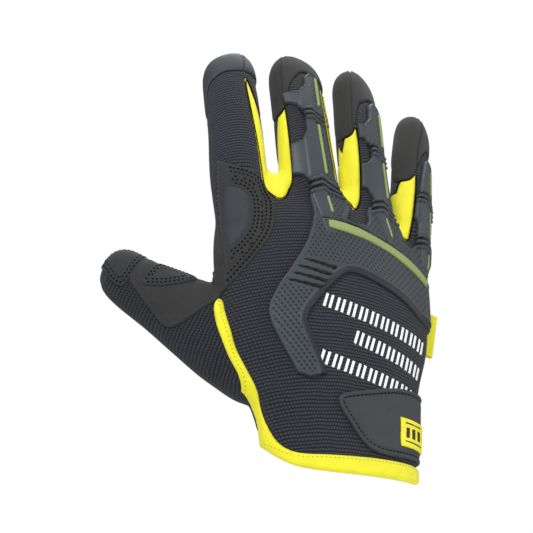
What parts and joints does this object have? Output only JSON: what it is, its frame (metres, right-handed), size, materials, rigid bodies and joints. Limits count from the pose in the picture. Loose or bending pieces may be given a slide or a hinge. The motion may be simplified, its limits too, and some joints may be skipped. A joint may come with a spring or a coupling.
{
  "type": "mechanic glove",
  "caption": "Right-hand work glove in worn form with knit back, moulded knuckle guard with finger arms, suede palm side, coloured side panels and a fastened wrist strap.",
  "frame": {"origin": "middle of the wrist opening, on the axis of the wrist, at the level where the back of the cuff starts", "axes": "+Z from the wrist to the fingertips, the back of the hand faces -Y, the palm side faces +Y, the thumb is at -X and the little finger at +X"},
  "size_m": [0.1948, 0.0674, 0.2494],
  "materials": {
    "rib_knit": "fine ribbed stretch knit, matt",
    "palm_leather": "matt synthetic leather",
    "cap_suede": "napped synthetic suede, matt",
    "index_cap_rubber": "smooth satin rubber-coated cloth",
    "guard_rubber": "moulded soft rubber, satin",
    "pad_rubber": "satin rubber over a thin pad",
    "strap_rubber": "fine-textured moulded rubber, satin",
    "lime_rubber": "matt raised print",
    "yellow_stretch": "smooth stretch cloth, matt",
    "yellow_binding": "woven binding tape",
    "yellow_label": "soft flexible tag"
  },
  "bodies": {
    "root": {"back_panel": "rib_knit", "cuff_piping": "yellow_binding", "index_back": "rib_knit", "index_middle_fourchette": "yellow_stretch", "index_palm": "palm_leather", "index_tip_cap": "index_cap_rubber", "knuckle_bar": "lime_rubber", "knuckle_guard": "guard_rubber", "little_back": "rib_knit", "little_palm": "palm_leather", "little_stripe_1": "lime_rubber", "little_stripe_2": "lime_rubber", "little_stripe_3": "lime_rubber", "little_tip_cap": "cap_suede", "middle_back": "rib_knit", "middle_palm": "palm_leather", "middle_ring_fourchette": "yellow_stretch", "middle_stripe_1": "lime_rubber", "middle_stripe_2": "lime_rubber", "middle_stripe_3": "lime_rubber", "middle_tip_cap": "cap_suede", "palm_panel": "palm_leather", "pull_loop": "yellow_binding", "ring_back": "rib_knit", "ring_little_fourchette": "yellow_stretch", "ring_palm": "palm_leather", "ring_stripe_1": "lime_rubber", "ring_stripe_2": "lime_rubber", "ring_stripe_3": "lime_rubber", "ring_tip_cap": "cap_suede", "saddle_pad": "pad_rubber", "saddle_panel": "cap_suede", "strap_label": "yellow_label", "thumb_back": "rib_knit", "thumb_palm": "palm_leather", "thumb_side_patch": "cap_suede", "thumb_tip_patch": "cap_suede", "wrist_strap": "strap_rubber"}
  },
  "joints": []
}
